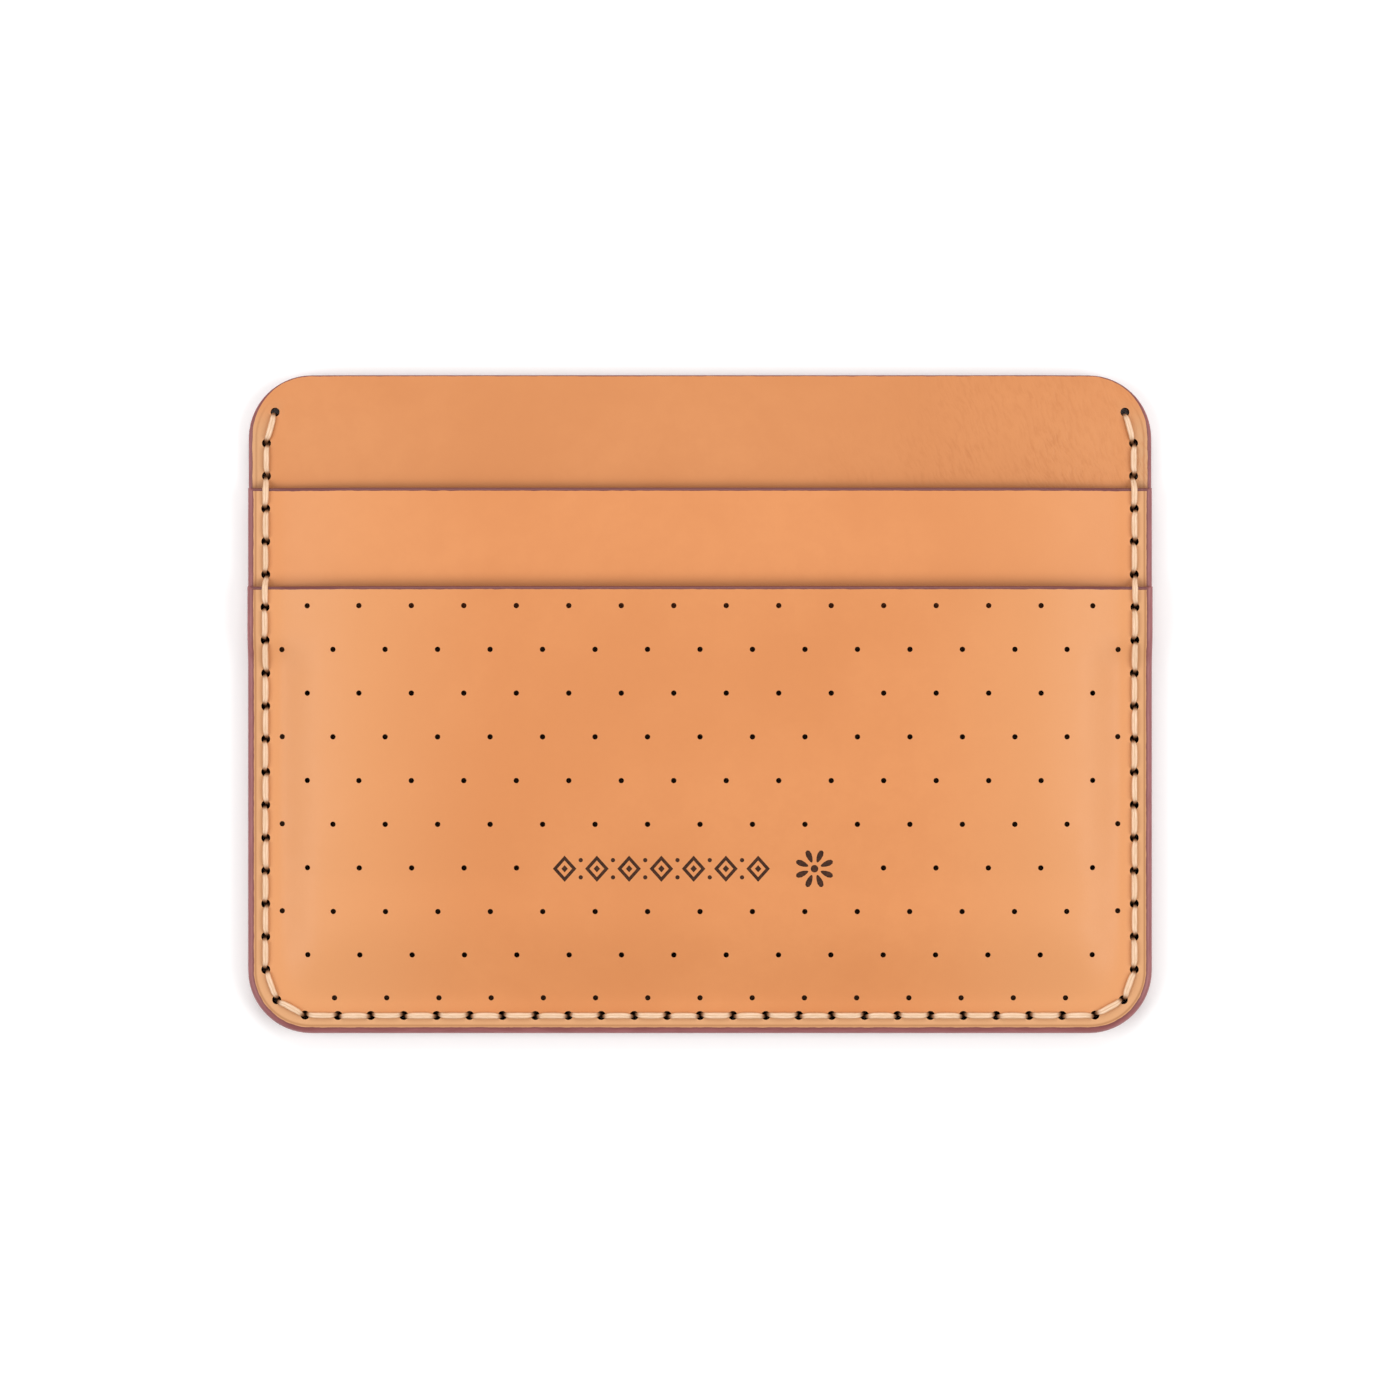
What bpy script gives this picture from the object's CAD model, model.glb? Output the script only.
"""Sewn leather card holder lying on its rear face: four panels, two saddle-stitched threads and a stage."""

import math

import bmesh
import bpy
import numpy as np
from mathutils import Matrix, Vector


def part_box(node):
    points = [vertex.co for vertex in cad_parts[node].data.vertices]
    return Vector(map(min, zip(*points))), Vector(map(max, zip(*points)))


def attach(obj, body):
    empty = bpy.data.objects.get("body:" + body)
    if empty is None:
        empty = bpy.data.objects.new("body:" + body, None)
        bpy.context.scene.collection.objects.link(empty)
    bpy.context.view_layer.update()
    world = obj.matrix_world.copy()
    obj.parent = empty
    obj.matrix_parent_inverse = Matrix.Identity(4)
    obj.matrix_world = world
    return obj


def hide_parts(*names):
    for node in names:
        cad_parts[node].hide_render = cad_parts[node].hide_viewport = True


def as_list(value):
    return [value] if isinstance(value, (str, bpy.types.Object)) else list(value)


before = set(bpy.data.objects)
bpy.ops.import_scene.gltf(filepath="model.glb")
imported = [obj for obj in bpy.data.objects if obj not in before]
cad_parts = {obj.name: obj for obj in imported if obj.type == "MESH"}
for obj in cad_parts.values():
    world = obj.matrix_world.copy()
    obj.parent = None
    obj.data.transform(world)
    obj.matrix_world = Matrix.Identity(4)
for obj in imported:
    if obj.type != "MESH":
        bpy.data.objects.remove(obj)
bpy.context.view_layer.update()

bl_info = {
    "name": "Stitched card holder",
    "version": (1, 0, 0),
    "blender": (4, 5, 0),
    "location": "View3D > Sidebar > Card holder",
    "description": "Builds a sewn leather card holder with two card slots, edge paint and saddle stitching",
    "category": "Mesh",
}

ROOT = "root"
MM = 0.001

# Roundings of the edges, in millimetres, as all lengths are from here on unless MM says otherwise.
LIP_R = 0.34  # upper rim of a mouth
LIP_UNDER_R = 0.2  # lower rim of a mouth
SIDE_R = 0.7  # sides of the front slot panel
BOTTOM_R = 0.77  # its bottom edge
UPPER_SIDE_R = 0.65  # sides of the upper slot panel
STRIP_SIDE_R = 0.5  # sides of the front panel's top strip
REAR_R = 0.6  # outer rim of the rear face
REAR_TOP_R = 0.3  # and along its top edge
TOP_R = 0.12  # rims of the centre pocket's mouth
HIDDEN_R = 0.04  # rims between two layers

SKIVE_SHARE = 0.8  # share of the wing ramp that the skived wings reach over
LEAST_SKIVE = 0.04  # thickness that skiving leaves at least
CREASE_DEPTH = 0.035
CREASE_INSET = 0.93
CREASE_WIDTH = 0.09
PRESS_REACH = 1.25  # how far from the seam the stitches press the leather down
SEAM_END = 0.3  # how far past its last hole a seam starts to fade
SEAM_FADE = 0.5
GROOVE_SLOPE = 0.2

# Grid lines of the sheets: insets from an edge or a mouth, close together where the surface turns.
EDGE_STEPS = [1 - math.cos(math.radians(a)) for a in range(0, 91, 11)] + [1.0]
BODY_INSETS = [SIDE_R * s for s in EDGE_STEPS]
BODY_INSETS += [0.78, 0.86, 0.93, 1.0, 1.08, 1.2, 1.3, 1.4, 1.5, 1.6, 1.75, 1.9, 2.05, 2.2, 2.35, 2.5]
BODY_INSETS += [2.6, 2.7, 2.9, 3.15, 3.4, 3.9, 4.5, 5.2, 6.0, 7.0]
MOUTH_INSETS = [LIP_R * s for s in EDGE_STEPS] + [0.5, 0.65, 0.9, 1.3, 1.9, 2.7, 3.6]
MOUTH_STEP = 0.05
GRID_STEP = 0.9

SHARP_ANGLE = math.radians(40)
WELD = 0.0002 * MM
PUNCH_LENGTH = 20 * MM
STITCH_PUNCH_SIDES = 24
PERFORATION_SIDES = 16
EVERYWHERE = (-1e3, 1e3)

STAMP_Y = -18.1
STAMP_DEPTH = 0.05
BORDER_X = -14.9  # middle of the first lozenge
BORDER_STEP = 3.55
LOZENGES = 7
ROSE_X = 12.6
PETALS = 8

# A stitch between two holes, by the distance from the nearer hole.
LANE_STARTS = (0.26, 0.30, 0.37, 0.47, 0.60, 0.78, 1.0, 1.25, 1.5)
DIP = (LANE_STARTS[:6], (0.60, 0.38, 0.20, 0.09, 0.03, 0.0))
FULLNESS = ((0.26, 0.37, 0.47, 0.60, 0.9, 1.5), (0.60, 0.68, 0.76, 0.82, 0.88, 0.94))
SUNKENNESS = ((0.38, 0.54, 0.95), (1.0, 0.36, 0.0))
LEAN = ((0.26, 0.9), (1.0, 0.0))
LEG_SHIFT = 0.12  # sideways distance of the two strands from the middle of a hole
LAY = 0.02  # clearance of the thread over the leather

FLOOR_REACH = 2500
FLOOR_DROP = 0.1

rear_low, rear_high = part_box("rear_panel")
front_low, front_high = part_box("front_panel")
upper_low, upper_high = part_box("upper_slot_panel")
pocket_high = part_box("front_slot_panel")[1]
leather_thickness = rear_high.z - rear_low.z
note_room = front_high.z - front_low.z - leather_thickness
card_room = upper_high.z - upper_low.z - leather_thickness - note_room


# ---- Sizes and colours a maker would change --------------------------------------------------------------


def length(name, description, default, low=0.0):
    """A length property in metres."""
    return bpy.props.FloatProperty(
        name=name, description=description, default=default, min=low, max=1.0, unit="LENGTH", precision=5
    )


def whole(name, description, default):
    """A whole number property."""
    return bpy.props.IntProperty(name=name, description=description, default=default)


def colour(name, description, default):
    """A colour property in linear light."""
    return bpy.props.FloatVectorProperty(
        name=name, description=description, default=default, min=0.0, max=1.0, size=3, subtype="COLOR"
    )


class HolderSizes(bpy.types.PropertyGroup):
    """Sizes of the leather panels and the room between them."""

    width: length("Width", "Side edge to side edge", rear_high.x - rear_low.x)
    height: length("Height", "Bottom edge to top edge", rear_high.y - rear_low.y)
    corner: length("Corner radius", "Radius of the four corners", 7 * MM)
    thickness: length("Leather thickness", "Thickness of every panel", leather_thickness)
    upper_mouth: length("Upper mouth", "Height of the upper slot's mouth above the middle", upper_high.y, -1)
    front_mouth: length("Front mouth", "Height of the front slot's mouth above the middle", pocket_high.y, -1)
    wing_overlap: length("Wing overlap", "How far the upper slot's wings run under the front panel", 5 * MM)
    wing_ramp: length("Wing ramp", "Length of the front panel's descent off the skived wings", 4 * MM)
    tail_end: length("Tail end", "Height of the upper slot's closed end above the middle", upper_low.y, -1)
    tail_inset: length("Tail inset", "Side edge of the holder in to the side edge of the tail", 8 * MM)
    note_room: length("Note room", "Room in the centre pocket", note_room)
    card_room: length("Card room", "Room in each card slot", card_room)
    band: length("Seam band", "Width of the band that the seams press flat", 3.4 * MM)
    rise_width: length("Rise width", "Width over which a panel rises from a seam", 11 * MM)


class HolderStitching(bpy.types.PropertyGroup):
    """Sizes of the stitch holes, the threads and the groove on the rear face."""

    stitch_inset: length("Stitch inset", "Edge of the holder in to the stitches", 2 * MM)
    stitch_length: length("Stitch length", "Wanted distance between stitch holes", 3.64 * MM, 0.001)
    hole: length("Hole diameter", "Diameter of a stitch hole", 1.0 * MM)
    thread_width: length("Thread width", "Width of the thread lying on the leather", 0.72 * MM)
    thread_height: length("Thread height", "Height of the thread lying on the leather", 0.44 * MM)
    groove_depth: length("Groove depth", "Depth of the groove on the rear face", 0.5 * MM)
    groove_width: length("Groove width", "Width of the groove on the rear face", 1.2 * MM)
    press: length("Press", "How deep the stitches press into the front", 0.07 * MM)
    tail_seam_inset: length("Tail stitch inset", "Closed end of the tail up to its stitches", 2.5 * MM)
    tail_seam_margin: length("Tail stitch margin", "Side edge of the tail in to its last stitch", 4 * MM)
    end_angle: bpy.props.FloatProperty(
        name="End angle",
        description="Angle up the top corners at which the side seams end",
        default=math.radians(36),
        subtype="ANGLE",
    )
    seed: whole("Seed", "Seed for the small unevenness of hand sewing", 7)


class HolderPerforation(bpy.types.PropertyGroup):
    """Sizes of the pattern of small holes in the front slot panel."""

    hole: length("Perforation", "Diameter of a perforation", 0.6 * MM)
    pitch: length("Column pitch", "Distance between perforations along a row", 5.77 * MM)
    row_pitch: length("Row pitch", "Distance between rows", 4.81 * MM)
    top: length("First row", "Mouth of the front slot down to the first row", 2.15 * MM)
    edge: length("Least margin", "Least distance from the edge to a perforation", 3.7 * MM)
    field_row: whole("Blank row", "Row that the stamp breaks", 7)
    field_count: whole("Blank count", "Perforations that the stamp replaces", 6)


class HolderFinish(bpy.types.PropertyGroup):
    """Colours of the leather, its edges, the thread and the stamp."""

    panel_leather: colour("Panel leather", "Tan of the front and rear panels", (0.592, 0.229, 0.078))
    slot_leather: colour("Slot leather", "Tan of the two slot panels", (0.640, 0.246, 0.084))
    flesh: colour("Flesh side", "Unfinished inner side of the leather", (0.45, 0.24, 0.13))
    paint: colour("Edge paint", "Burgundy paint on the cut edges", (0.262, 0.077, 0.076))
    thread: colour("Thread", "Waxed linen thread", (0.80, 0.58, 0.405))
    burnt: colour("Burnt", "Scorched leather of the stamp and the holes", (0.030, 0.010, 0.004))


# ---- Plan ------------------------------------------------------------------------------------------------


class Plan:
    """The lengths above in millimetres, with the heights of the sheets over any point."""

    round_power = 5
    soft_start = 0.05

    def __init__(self, scene):
        for group in (scene.holder_sizes, scene.holder_stitching):
            for size in group.bl_rna.properties:
                if size.unit == "LENGTH":
                    setattr(self, size.identifier, getattr(group, size.identifier) / MM)
        self.end_angle = scene.holder_stitching.end_angle
        self.half_w = self.width / 2
        self.half_h = self.height / 2
        self.wing_end = self.front_mouth - self.wing_overlap
        self.skive_end = self.wing_end - SKIVE_SHARE * self.wing_ramp
        self.tail_x = self.half_w - self.tail_inset
        self.tail_seam_x = self.tail_x - self.tail_seam_margin
        self.tail_seam_y = self.tail_end + self.tail_seam_inset
        self.seam_r = self.corner - self.stitch_inset
        self.arc_x = self.half_w - self.corner
        self.arc_y = self.half_h - self.corner
        self.corner_waste = (1 - math.pi / 4) * self.corner**2

    def side(self, x):
        """Distance in from the side edges."""
        return self.half_w - np.abs(x)

    def rise(self, a, b):
        """Share of its full room that a panel has risen to, from the distances in from two closed edges. They
        are eased round the corner between them."""
        reach = self.band + self.rise_width
        p = self.round_power
        inset = reach - (np.maximum(reach - a, 0) ** p + np.maximum(reach - b, 0) ** p) ** (1 / p)
        t = np.clip((inset - self.band) / self.rise_width, 0, 1)
        s = self.soft_start
        t = (np.sqrt(t * t + s * s) - s) / (math.sqrt(1 + s * s) - s)
        return np.sin(np.pi / 2 * t)

    def body_lift(self, x, y):
        """Rise of a panel that is sewn along the bottom edge."""
        return self.rise(self.side(x), y + self.half_h)

    def over_layers(self, x, y):
        """Share of the hidden wings' and tail's thickness that the front panel climbs over."""
        wings = smooth((y - self.wing_end + self.wing_ramp) / self.wing_ramp)
        tail = smooth((self.side(x) - self.band) / (self.tail_inset - self.band))
        tail = tail * smooth((y + self.half_h - self.band) / (self.tail_end + self.half_h - self.band))
        return 1 - (1 - wings) * (1 - tail)

    def front_under(self, x, y):
        return self.thickness + self.note_room * self.body_lift(x, y)

    def upper_under(self, x, y):
        lift = self.rise(self.side(x), y - self.tail_end)
        return self.front_under(x, y) + self.thickness + self.card_room * lift

    def pocket_under(self, x, y):
        lift = self.card_room * self.body_lift(x, y)
        return self.upper_under(x, y) + lift + self.thickness * self.over_layers(x, y)

    def ring(self, x, y):
        """Distance in from the rounded outline, true within a corner radius of it."""
        across = np.maximum(np.abs(x) - self.arc_x, 0)
        along = np.maximum(np.abs(y) - self.arc_y, 0)
        return self.corner - np.hypot(across, along)

    def skin(self, x, y):
        """Outer face of the whole stack, with the rounded lips of the mouths and the pressed seam line."""
        top = np.where(y > self.upper_mouth, self.front_under(x, y), self.upper_under(x, y))
        top = np.where(y > self.front_mouth, top, self.pocket_under(x, y))
        lip = np.where(y > self.front_mouth, self.upper_mouth - y, self.front_mouth - y)
        lip = np.where(y > self.upper_mouth, LIP_R, lip)
        return top + self.thickness - rounding(lip, LIP_R) - self.seam_press(x, y)

    def seam_press(self, x, y):
        """Depth that the pull of the thread presses into the front along the seam."""
        off = np.abs(self.ring(x, y) - self.stitch_inset)
        return self.press * smooth(PRESS_REACH - off) * self.seam_share(x, y)

    def seam_share(self, x, y):
        """1 beside the edge seam, fading to 0 past its two ends at the top corners."""
        angle = np.arctan2(y - self.arc_y, np.abs(x) - self.arc_x)
        past = np.where(y > self.arc_y, (angle - self.end_angle) * self.seam_r, -self.seam_r)
        return smooth(1 - (past - SEAM_END) / SEAM_FADE)

    def groove(self, x, y):
        """Depth of the groove on the rear face that sinks the stitches."""
        off = np.abs(self.ring(x, y) - self.stitch_inset)
        walls = smooth((self.groove_width / 2 + GROOVE_SLOPE / 2 - off) / GROOVE_SLOPE)
        return self.groove_depth * walls * self.seam_share(x, y)

    def edge_seam(self):
        """The edge seam as a fine line of points, from its top left end round to its top right end."""
        lead = np.linspace(math.pi - self.end_angle, math.pi, 25)
        turn = np.radians(np.arange(0, 90.01, 1.5)) + math.pi
        left = [(a, self.arc_y) for a in lead] + [(a, -self.arc_y) for a in turn]
        left = [(self.seam_r * math.cos(a) - self.arc_x, y + self.seam_r * math.sin(a)) for a, y in left]
        return np.array(left + [(-x, y) for x, y in reversed(left)])

    def tail_seam(self):
        return np.array([(-self.tail_seam_x, self.tail_seam_y), (self.tail_seam_x, self.tail_seam_y)])

    def stitch_counts(self):
        """Number of stitches along the edge seam and the tail seam."""
        edge_length = np.hypot(*np.diff(self.edge_seam(), axis=0).T).sum()
        return round(edge_length / self.stitch_length), round(2 * self.tail_seam_x / self.stitch_length)


def smooth(t):
    """Smooth step from 0 to 1."""
    t = np.clip(t, 0, 1)
    return t * t * (3 - 2 * t)


def toward(first, second, share):
    """A value a share of the way from one to another."""
    return first + (second - first) * share


def rounding(distance, radius):
    """How far a quarter-round edge has dropped at a distance in from the cut."""
    reach = np.clip(radius - distance, 0, radius)
    return radius - np.sqrt(np.maximum(radius * radius - reach * reach, 0))


def lines_between(low, high):
    """Even grid lines strictly between two others."""
    count = max(1, round((high - low) / GRID_STEP))
    return [low + (high - low) * i / count for i in range(1, count)]


def merged(values, gap=0.004):
    """Sorted values without near repeats."""
    kept = []
    for v in sorted(values):
        if not kept or v - kept[-1] > gap:
            kept.append(v)
    return np.array(kept)


# ---- Meshes ----------------------------------------------------------------------------------------------


def new_object(name, data):
    """A new object at the origin, in the scene."""
    piece = bpy.data.objects.new(name, data)
    bpy.context.scene.collection.objects.link(piece)
    return piece


def mesh_object(name, vertices, faces, edges=()):
    """A mesh object from points in millimetres."""
    mesh = bpy.data.meshes.new(name)
    mesh.from_pydata((np.asarray(vertices, float) * MM).tolist(), list(edges), faces)
    mesh.update()
    return new_object(name, mesh)


def wrap_corners(plan, x, y, corners):
    """Turns the grid's square corners into arcs, so its outer lines follow the rounded outline."""
    at_corner = (np.abs(x) > plan.arc_x) & (np.abs(y) > plan.arc_y) & np.isin(np.sign(y), corners)
    u = plan.half_w - np.abs(x)
    v = plan.half_h - np.abs(y)
    radius = np.maximum(plan.corner - np.minimum(u, v), 1e-9)
    share = (plan.corner - np.maximum(u, v)) / radius
    angle = np.where(u < v, share, 2 - share) * math.pi / 4
    wrapped_x = np.sign(x) * (plan.arc_x + radius * np.cos(angle))
    wrapped_y = np.sign(y) * (plan.arc_y + radius * np.sin(angle))
    return np.where(at_corner, wrapped_x, x), np.where(at_corner, wrapped_y, y)


def leather_sheet(plan, name, xs, ys, shape, outline=None, corners=()):
    """A closed sheet of leather over a grid. shape gives its lower and upper heights, and outline, if given,
    where there is any. Its upper side and its edge have material 0, its lower side has material 1."""
    flat_x, flat_y = np.meshgrid(xs, ys)
    x, y = wrap_corners(plan, flat_x, flat_y, corners)
    n, m = len(xs), len(ys)
    mid_x = (flat_x[:-1, :-1] + flat_x[1:, 1:]) / 2
    mid_y = (flat_y[:-1, :-1] + flat_y[1:, 1:]) / 2
    there = np.ones((m - 1, n - 1), bool) if outline is None else outline(mid_x, mid_y)
    upper = n * m
    faces, sides = [], []
    for j, i in zip(*np.nonzero(there)):
        a = j * n + i
        faces.append((a + upper, a + 1 + upper, a + n + 1 + upper, a + n + upper))
        faces.append((a, a + n, a + n + 1, a + 1))
        sides += [0, 1]
        around = ((-1, 0, a, a + 1), (1, 0, a + n + 1, a + n), (0, -1, a + n, a), (0, 1, a + 1, a + n + 1))
        for dj, di, p, q in around:
            b, c = j + dj, i + di
            if not (0 <= b < m - 1 and 0 <= c < n - 1 and there[b, c]):
                faces.append((p, q, q + upper, p + upper))
                sides.append(0)
    points = np.concatenate([np.stack([x, y, z], -1).reshape(-1, 3) for z in shape(plan, x, y)])
    used = sorted({k for f in faces for k in f})
    renumbered = {k: i for i, k in enumerate(used)}
    sheet = mesh_object(name, points[used], [tuple(renumbered[k] for k in f) for f in faces])
    sheet.data.polygons.foreach_set("material_index", sides)
    sheet.data.polygons.foreach_set("use_smooth", [True] * len(faces))
    return sheet


def prism(outlines, low, high):
    """A closed solid from one outline, or between two outlines of as many points."""
    count = len(outlines[0])
    flat = [np.array(outline, float) for outline in outlines]
    rings = [np.column_stack([ring, height(*ring.T)]) for ring in flat for height in (low, high)]
    around = [(i, (i + 1) % count) for i in range(count)]
    faces = [(a, b, b + count, a + count) for a, b in around]
    if len(outlines) == 1:
        faces += [tuple(range(count - 1, -1, -1)), tuple(range(count, 2 * count))]
    else:
        inner = 2 * count
        faces += [(b + inner, a + inner, a + inner + count, b + inner + count) for a, b in around]
        faces += [(b, a, a + inner, b + inner) for a, b in around]
        faces += [(a + count, b + count, b + inner + count, a + inner + count) for a, b in around]
    return np.concatenate(rings), faces


def seam_line(name, points):
    """A helper curve through flat points in millimetres."""
    curve = bpy.data.curves.new(name, "CURVE")
    curve.dimensions = "3D"
    spline = curve.splines.new("POLY")
    spline.points.add(len(points) - 1)
    for point, (x, y) in zip(spline.points, points):
        point.co = (x * MM, y * MM, 0, 1)
    new_object(name, curve)


# ---- Nodes -----------------------------------------------------------------------------------------------


def arithmetic(operation, swapped=False):
    """A Python operator that adds one Math node."""

    def add_math(self, *other):
        values = (self, *other)
        return self.bench.math(operation, *(reversed(values) if swapped else values))

    return add_math


class Number:
    """A value that varies: it wraps a socket, and an expression on it adds its Math nodes."""

    def __init__(self, bench, socket):
        self.bench = bench
        self.socket = socket

    __add__ = arithmetic("ADD")
    __radd__ = arithmetic("ADD", swapped=True)
    __sub__ = arithmetic("SUBTRACT")
    __rsub__ = arithmetic("SUBTRACT", swapped=True)
    __mul__ = arithmetic("MULTIPLY")
    __rmul__ = arithmetic("MULTIPLY", swapped=True)
    __truediv__ = arithmetic("DIVIDE")
    __mod__ = arithmetic("FLOORED_MODULO")
    __pow__ = arithmetic("POWER")
    __abs__ = arithmetic("ABSOLUTE")
    __lt__ = arithmetic("LESS_THAN")
    __gt__ = arithmetic("GREATER_THAN")


class Bench:
    """Adds nodes to one tree, of a material or of Geometry Nodes."""

    def __init__(self, tree):
        self.tree = tree

    @staticmethod
    def pick(sockets, key):
        """The live socket with this name, or at this place among the live ones."""
        live = [s for s in sockets if s.enabled]
        return live[key] if isinstance(key, int) else next(s for s in live if s.name == key)

    def node(self, kind, inputs=None, settings=None, output=0):
        """Adds a node, sets its settings first, then gives its sockets their values or links. Returns one of
        its outputs, or nothing from a node that has none."""
        made = self.tree.nodes.new(kind)
        for name, value in (settings or {}).items():
            setattr(made, name, value)
        for key, value in (inputs or {}).items():
            socket = self.pick(made.inputs, key)
            if isinstance(value, Number):
                self.tree.links.new(value.socket, socket)
            else:
                socket.default_value = value
        return Number(self, self.pick(made.outputs, output)) if made.outputs else None

    def math(self, operation, *values):
        return self.node("ShaderNodeMath", dict(enumerate(values)), {"operation": operation})

    def ramp(self, value, start, end):
        """Smooth step of a value from 0 at start to 1 at end."""
        inputs = {0: value, 1: start, 2: end, 3: 0.0, 4: 1.0}
        return self.node("ShaderNodeMapRange", inputs, {"interpolation_type": "SMOOTHSTEP"})

    def greater(self, a, b):
        return self.math("MAXIMUM", a, b)

    def past_corner(self, across, along):
        """Distance past the middle of a rounded corner, from how far past it a point is each way."""
        across, along = self.greater(across, 0.0), self.greater(along, 0.0)
        return self.math("SQRT", across * across + along * along)

    def split(self, vector):
        x = self.node("ShaderNodeSeparateXYZ", {0: vector})
        return [Number(self, s) for s in x.socket.node.outputs]

    def join(self, x, y, z):
        return self.node("ShaderNodeCombineXYZ", {0: x, 1: y, 2: z})

    def noise(self, place, scale, detail=2.0, roughness=0.5):
        inputs = {"Vector": place, "Scale": scale, "Detail": detail, "Roughness": roughness}
        return self.node("ShaderNodeTexNoise", inputs, {"normalize": True})

    def blend(self, factor, first, second):
        """Mixes two colours. One of three numbers gets full alpha."""
        first, second = ((*shade, 1.0) if isinstance(shade, tuple) else shade for shade in (first, second))
        settings = {"data_type": "RGBA", "clamp_factor": True}
        return self.node("ShaderNodeMix", {0: factor, 1: first, 2: second}, settings)


def tinted(shade, *factors):
    """A colour with its three channels scaled, by one factor or by three."""
    return tuple(min(1.0, c * f) for c, f in zip(shade, factors * (3 // len(factors))))


# ---- Materials -------------------------------------------------------------------------------------------


def new_material(name):
    """A bare material. Returns it with its bench."""
    material = bpy.data.materials.new(name)
    material.use_nodes = True
    material.node_tree.nodes.clear()
    return material, Bench(material.node_tree)


def finish_material(bench, tone, roughness, specular, height=None, strength=0.5, distance=0.05):
    """Ends a material in a Principled BSDF, with a bump where a height is given."""
    sockets = {"Base Color": tone, "Roughness": roughness, "Specular IOR Level": specular}
    if height is not None:
        bump = {"Strength": strength, "Distance": distance * MM, "Height": height}
        sockets["Normal"] = bench.node("ShaderNodeBump", bump)
    shader = bench.node("ShaderNodeBsdfPrincipled", sockets)
    bench.node("ShaderNodeOutputMaterial", {"Surface": shader})


def object_mm(bench):
    """Place on the object, in millimetres."""
    place = bench.node("ShaderNodeTexCoord", output="Object")
    return bench.node("ShaderNodeVectorMath", {0: place, "Scale": 1 / MM}, {"operation": "SCALE"})


def place_on_panel(bench, plan):
    """Place on a panel in millimetres, with its x and y and its distance in from the rounded outline."""
    place = object_mm(bench)
    x, y = bench.split(place)[:2]
    inset = plan.corner - bench.past_corner(abs(x) - plan.arc_x, abs(y) - plan.arc_y)
    return place, x, y, inset


def edge_paint(bench, place, paint):
    """Colour of the burgundy edge paint, with faint lengthwise streaks."""
    x, y, z = bench.split(place)
    streaks = bench.noise(bench.join(x * 0.25, y * 0.25, z * 3.0), 1.2, 4.0, 0.65)
    return bench.blend(bench.ramp(streaks, 0.3, 0.7), tinted(paint, 0.90), tinted(paint, 1.16, 1.28, 1.32))


def painted(bench, plan, place, y, inset, finish, look, tone):
    """Lays the edge paint over a tone, on the cut edges and their rounded rims. Its line is slightly uneven,
    and it is darker there and along the mouths. Returns the colour and the paint's mask."""
    reach = toward(look["side_paint"], look["top_paint"], bench.ramp(y, plan.arc_y, plan.half_h))
    waver = (bench.noise(place, 0.9, 3.0) - 0.5) * 0.16
    depth = reach - inset + waver
    paint = tuple(finish.paint)
    dark = tinted(paint, 0.56, 0.50, 0.48)
    coat = edge_paint(bench, place, paint)
    coat = bench.blend((1 - bench.ramp(depth, 0.0, 0.34)) * 0.75, coat, dark)
    if look["mouth"] is not None:
        lip = LIP_R + 0.01 - (look["mouth"] - y) + waver
        coat = bench.blend(bench.ramp(lip - depth, -0.05, 0.05) * 0.8, coat, dark)
        depth = bench.greater(depth, lip)
    mask = bench.ramp(depth, -0.03, 0.03)
    return bench.blend(mask, tone, coat), mask


def growth_wrinkles(bench, plan, place, x, y):
    """Fine leaning growth wrinkles on the right of the front panel's top strip, and how strong they are."""
    lean = math.radians(20)
    across = x * math.cos(lean) + y * math.sin(lean)
    along = y * math.cos(lean) - x * math.sin(lean)
    bend = (bench.noise(place, 0.16, 2.0) - 0.5) * 5.0
    pattern = bench.noise(bench.join(across * 2.3 + bend, along * 0.6, 0.0), 1.0, 3.0, 0.6)
    share = bench.ramp(x - (y - plan.upper_mouth) * 0.8, 2.0, 42.0)
    patches = bench.ramp(bench.noise(place, 0.12, 2.0), 0.34, 0.6)
    return pattern, share * (0.35 + patches * 0.65)


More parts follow.
